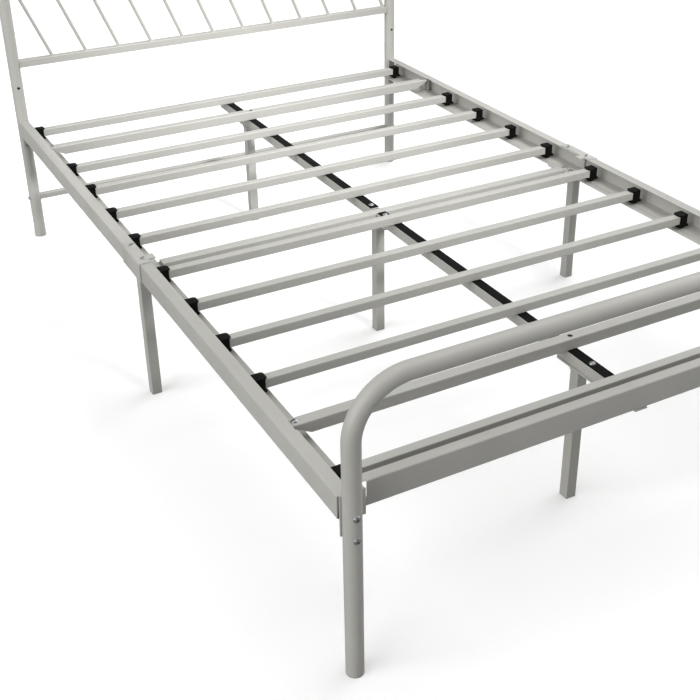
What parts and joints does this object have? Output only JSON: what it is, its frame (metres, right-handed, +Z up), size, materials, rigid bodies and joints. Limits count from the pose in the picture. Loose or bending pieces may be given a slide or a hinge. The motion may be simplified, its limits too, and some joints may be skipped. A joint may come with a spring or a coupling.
{
  "type": "metal bed frame",
  "caption": "Small double metal bed frame: bent-tube headboard with slanted rods, low bent-tube footboard, folded rails, tube slats, centre beam and legs.",
  "frame": {"origin": "on the floor, in the middle of the bed's outline", "axes": "+X to the right seen from the foot end, +Y along the bed towards the headboard, +Z up"},
  "size_m": [1.2514, 2.0314, 1],
  "materials": {
    "powder_coat": "satin powder coat, warm off-white",
    "moulded_plastic": "matte black injection-moulded",
    "foam_tape": "matte black closed-cell foam tape",
    "zinc_steel": "bright zinc plated",
    "dark_steel": "dark zinc plated",
    "cap_plastic": "matte off-white moulded"
  },
  "bodies": {
    "root": {"headboard_tube": "powder_coat", "headboard_lower_rail": "powder_coat", "headboard_rods": "powder_coat", "head_leg_crossbar": "powder_coat", "footboard_tube": "powder_coat", "foot_rail": "powder_coat", "side_rail_head_left": "powder_coat", "side_rail_head_right": "powder_coat", "side_rail_foot_left": "powder_coat", "side_rail_foot_right": "powder_coat", "rail_joint_left": "powder_coat", "rail_joint_right": "powder_coat", "side_leg_left": "powder_coat", "side_leg_right": "powder_coat", "slat_01": "powder_coat", "slat_02": "powder_coat", "slat_03": "powder_coat", "slat_04": "powder_coat", "slat_05": "powder_coat", "slat_06": "powder_coat", "slat_07": "powder_coat", "slat_08": "powder_coat", "slat_09": "powder_coat", "slat_10": "powder_coat", "slat_holders_left": "moulded_plastic", "slat_holders_right": "moulded_plastic", "cross_bar_head": "powder_coat", "cross_bar_foot": "powder_coat", "cross_bar_middle": "powder_coat", "cross_bar_seats": "powder_coat", "centre_beam_head": "powder_coat", "centre_beam_foot": "powder_coat", "foam_tape_head": "foam_tape", "foam_tape_foot": "foam_tape", "centre_leg_head": "powder_coat", "centre_leg_middle": "powder_coat", "centre_leg_foot": "powder_coat", "beam_hook": "powder_coat", "corner_bracket_head_left": "powder_coat", "corner_bracket_head_right": "powder_coat", "corner_bracket_foot_left": "powder_coat", "corner_bracket_foot_right": "powder_coat", "post_bolts": "zinc_steel", "rail_joint_bolts": "zinc_steel", "cross_bar_bolts": "zinc_steel", "middle_bar_bolts": "zinc_steel", "beam_bolts": "zinc_steel", "bar_through_bolts": "dark_steel", "hex_nuts": "zinc_steel", "under_screws": "zinc_steel", "leg_crossbar_bolts": "zinc_steel", "round_foot_caps": "cap_plastic", "square_foot_caps": "cap_plastic"}
  },
  "joints": []
}
